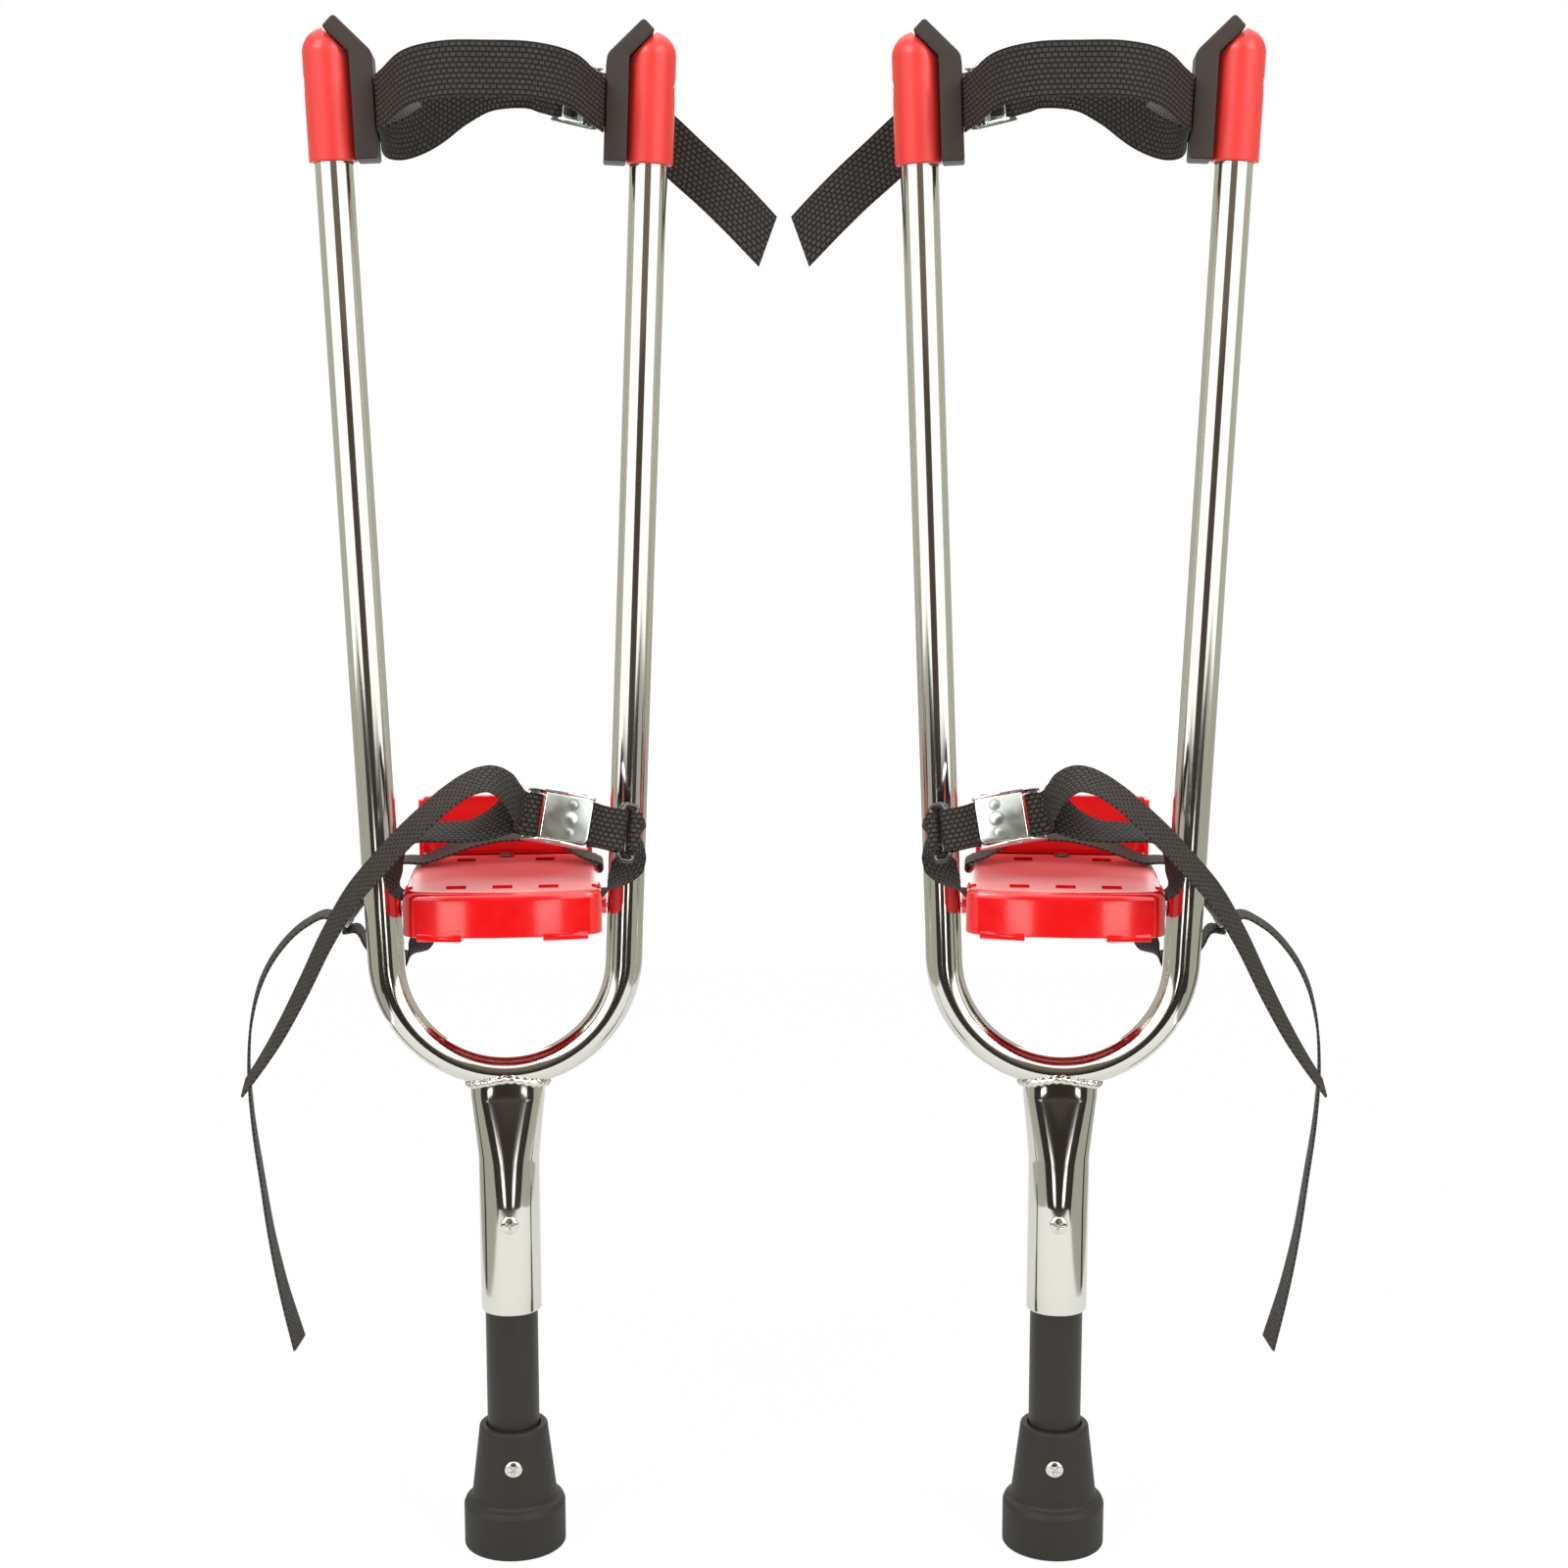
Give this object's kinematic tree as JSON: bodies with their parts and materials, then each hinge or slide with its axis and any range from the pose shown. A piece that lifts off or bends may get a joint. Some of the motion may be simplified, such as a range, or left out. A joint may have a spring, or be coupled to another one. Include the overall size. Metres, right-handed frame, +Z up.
{
  "type": "pair of peg stilts",
  "caption": "Pair of strap-on peg stilts: chromed bent-tube frames on sliding rubber-footed pegs, red footplates with heel cups, padded caps and cam-buckle straps.",
  "frame": {"origin": "on the floor, in the middle of the pair's plan bounding box", "axes": "+Z up, front of the footplates towards -Y, +X from the left stilt in the picture to the right one"},
  "size_m": [0.657, 0.1724, 0.9111],
  "materials": {
    "chromed_steel": "bright chrome plating",
    "zinc_plated_steel": "dull zinc plating",
    "blackened_steel": "black oxide or lacquer, half gloss",
    "satin_black_tube": "satin black paint",
    "black_rubber": "matt moulded rubber",
    "grey_black_rubber": "matt foam rubber",
    "red_moulding": "glossy red moulding",
    "black_webbing": "woven polypropylene webbing"
  },
  "bodies": {
    "pegs": {"left_peg_tube": "satin_black_tube", "left_rubber_foot": "black_rubber", "left_foot_screw": "chromed_steel", "right_peg_tube": "satin_black_tube", "right_rubber_foot": "black_rubber", "right_foot_screw": "chromed_steel"},
    "left_frame": {"left_u_frame": "chromed_steel", "left_stem_tube": "chromed_steel", "left_weld_bead": "chromed_steel", "left_stem_screw": "chromed_steel", "left_footplate": "red_moulding", "left_heel_cup": "red_moulding", "left_heel_screw": "blackened_steel", "left_footplate_screw_outer": "zinc_plated_steel", "left_footplate_screw_inner": "zinc_plated_steel", "left_cap_outer": "red_moulding", "left_cap_inner": "red_moulding", "left_cap_screw_outer": "zinc_plated_steel", "left_cap_screw_inner": "zinc_plated_steel", "left_knee_pad_outer": "grey_black_rubber", "left_knee_pad_inner": "grey_black_rubber", "left_knee_strap": "black_webbing", "left_knee_buckle_frame": "zinc_plated_steel", "left_toe_strap": "black_webbing", "left_toe_ring_strap": "black_webbing", "left_toe_ring": "blackened_steel", "left_toe_buckle_frame": "zinc_plated_steel", "left_ankle_strap": "black_webbing", "left_ankle_buckle_frame": "zinc_plated_steel"},
    "left_knee_buckle_lever_body": {"left_knee_buckle_lever": "zinc_plated_steel"},
    "left_toe_buckle_lever_body": {"left_toe_buckle_lever": "zinc_plated_steel"},
    "left_ankle_buckle_lever_body": {"left_ankle_buckle_lever": "zinc_plated_steel"},
    "right_frame": {"right_u_frame": "chromed_steel", "right_stem_tube": "chromed_steel", "right_weld_bead": "chromed_steel", "right_stem_screw": "chromed_steel", "right_footplate": "red_moulding", "right_heel_cup": "red_moulding", "right_heel_screw": "blackened_steel", "right_footplate_screw_outer": "zinc_plated_steel", "right_footplate_screw_inner": "zinc_plated_steel", "right_cap_outer": "red_moulding", "right_cap_inner": "red_moulding", "right_cap_screw_outer": "zinc_plated_steel", "right_cap_screw_inner": "zinc_plated_steel", "right_knee_pad_outer": "grey_black_rubber", "right_knee_pad_inner": "grey_black_rubber", "right_knee_strap": "black_webbing", "right_knee_buckle_frame": "zinc_plated_steel", "right_toe_strap": "black_webbing", "right_toe_ring_strap": "black_webbing", "right_toe_ring": "blackened_steel", "right_toe_buckle_frame": "zinc_plated_steel", "right_ankle_strap": "black_webbing", "right_ankle_buckle_frame": "zinc_plated_steel"},
    "right_knee_buckle_lever_body": {"right_knee_buckle_lever": "zinc_plated_steel"},
    "right_toe_buckle_lever_body": {"right_toe_buckle_lever": "zinc_plated_steel"},
    "right_ankle_buckle_lever_body": {"right_ankle_buckle_lever": "zinc_plated_steel"}
  },
  "joints": [
    {"name": "left_height_slide", "type": "slide", "parent": "pegs", "child": "left_frame", "axis": [0, 0, 1], "range_m": [0, 0.03]},
    {"name": "left_knee_cam", "type": "hinge", "parent": "left_frame", "child": "left_knee_buckle_lever_body", "pos_m": [-0.11635, 0.05835, 0.87579], "axis": [-0.1368, 0.1747, -0.9751], "range_deg": [0, 75]},
    {"name": "left_toe_cam", "type": "hinge", "parent": "left_frame", "child": "left_toe_buckle_lever_body", "pos_m": [-0.13273, -0.04467, 0.46347], "axis": [-0.1397, -0.3587, -0.9229], "range_deg": [0, 75]},
    {"name": "left_ankle_cam", "type": "hinge", "parent": "left_frame", "child": "left_ankle_buckle_lever_body", "pos_m": [-0.25905, 0.0281, 0.40247], "axis": [0.0872, -0.9962, 0], "range_deg": [0, 75]},
    {"name": "right_height_slide", "type": "slide", "parent": "pegs", "child": "right_frame", "axis": [0, 0, 1], "range_m": [0, 0.03]},
    {"name": "right_knee_cam", "type": "hinge", "parent": "right_frame", "child": "right_knee_buckle_lever_body", "pos_m": [0.11635, 0.05835, 0.87579], "axis": [-0.1368, -0.1747, 0.9751], "range_deg": [0, 75]},
    {"name": "right_toe_cam", "type": "hinge", "parent": "right_frame", "child": "right_toe_buckle_lever_body", "pos_m": [0.13273, -0.04467, 0.46347], "axis": [-0.1397, 0.3587, 0.9229], "range_deg": [0, 75]},
    {"name": "right_ankle_cam", "type": "hinge", "parent": "right_frame", "child": "right_ankle_buckle_lever_body", "pos_m": [0.25905, 0.0281, 0.40247], "axis": [0.0872, 0.9962, 0], "range_deg": [0, 75]}
  ]
}
